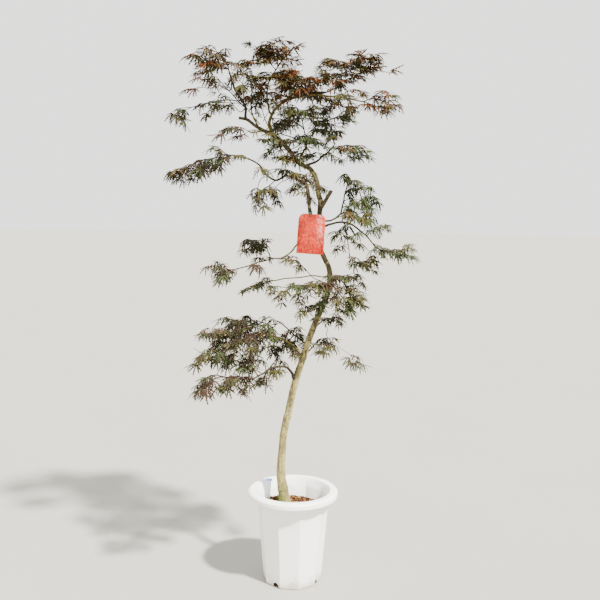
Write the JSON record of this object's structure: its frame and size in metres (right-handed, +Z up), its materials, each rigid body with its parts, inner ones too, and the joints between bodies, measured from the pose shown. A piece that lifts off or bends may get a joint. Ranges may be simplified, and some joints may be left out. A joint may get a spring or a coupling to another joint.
{
  "type": "potted japanese maple",
  "caption": "Laceleaf Japanese maple with a bent slender trunk and open drooping pads of fine leaves, in a tall white faceted nursery pot of soil, with a blank red card and a label stick.",
  "frame": {"origin": "centre of the pot's flat underside, at ground level", "axes": "+Z straight up the tree; +Y away from the side that the pot's card hangs on, so the viewer in front looks along +Y; +X to that viewer's right"},
  "size_m": [0.8487, 0.521, 1.848],
  "materials": {
    "pot_plastic": "white moulded plastic, satin",
    "soil": "reddish-brown bark and clay granules, matt",
    "label_plastic": "pale blue-white plastic, satin",
    "card": "coral-red printed card, laminated",
    "tie": "green plastic-coated wire",
    "bark": "grey-tan smooth bark with fine cracks",
    "twig": "olive-brown young bark",
    "leaf_bronze": "bronze-red leaves, soft sheen",
    "leaf_olive": "olive-green leaves, soft sheen",
    "leaf_dark": "dark purple-brown leaves, soft sheen"
  },
  "bodies": {
    "root": {"pot": "pot_plastic", "soil": "soil", "plant_label": "label_plastic", "trunk": "bark", "leader": "bark", "left_stem": "bark", "bough_arch": "twig", "bough_central_left": "twig", "bough_left": "twig", "bough_left_dark": "twig", "bough_left_loop": "twig", "bough_left_mid": "twig", "bough_left_second": "twig", "bough_left_small": "twig", "bough_left_tip": "twig", "bough_lower_left": "twig", "bough_lower_left_top": "twig", "bough_lower_right": "twig", "bough_lowest": "twig", "bough_mid_right": "twig", "bough_mid_right_low": "twig", "bough_right_arch": "twig", "bough_right_low": "twig", "bough_right_mid": "twig", "bough_right_upper": "twig", "bough_top": "twig", "bough_top_left": "twig", "bough_top_right": "twig", "bough_trunk_right_low": "twig", "card": "card", "card_tie": "tie", "foliage_below_leader": "leaf_olive", "foliage_central": "leaf_bronze", "foliage_central_left": "leaf_bronze", "foliage_far_right": "leaf_bronze", "foliage_left_dark": "leaf_dark", "foliage_left_droop": "leaf_dark", "foliage_left_low": "leaf_dark", "foliage_left_mid": "leaf_dark", "foliage_left_second": "leaf_bronze", "foliage_left_small": "leaf_olive", "foliage_left_tip": "leaf_bronze", "foliage_lower_left": "leaf_dark", "foliage_lower_left_top": "leaf_dark", "foliage_lower_right": "leaf_olive", "foliage_lowest": "leaf_dark", "foliage_mid_centre": "leaf_olive", "foliage_mid_right": "leaf_olive", "foliage_mid_right_low": "leaf_olive", "foliage_over_card": "leaf_olive", "foliage_right_low": "leaf_olive", "foliage_right_mid": "leaf_olive", "foliage_right_tip": "leaf_olive", "foliage_right_upper": "leaf_olive", "foliage_top": "leaf_bronze", "foliage_top_left": "leaf_bronze", "foliage_top_right": "leaf_bronze", "foliage_trunk_front": "leaf_olive", "foliage_trunk_right": "leaf_olive", "foliage_trunk_right_low": "leaf_olive"}
  },
  "joints": []
}
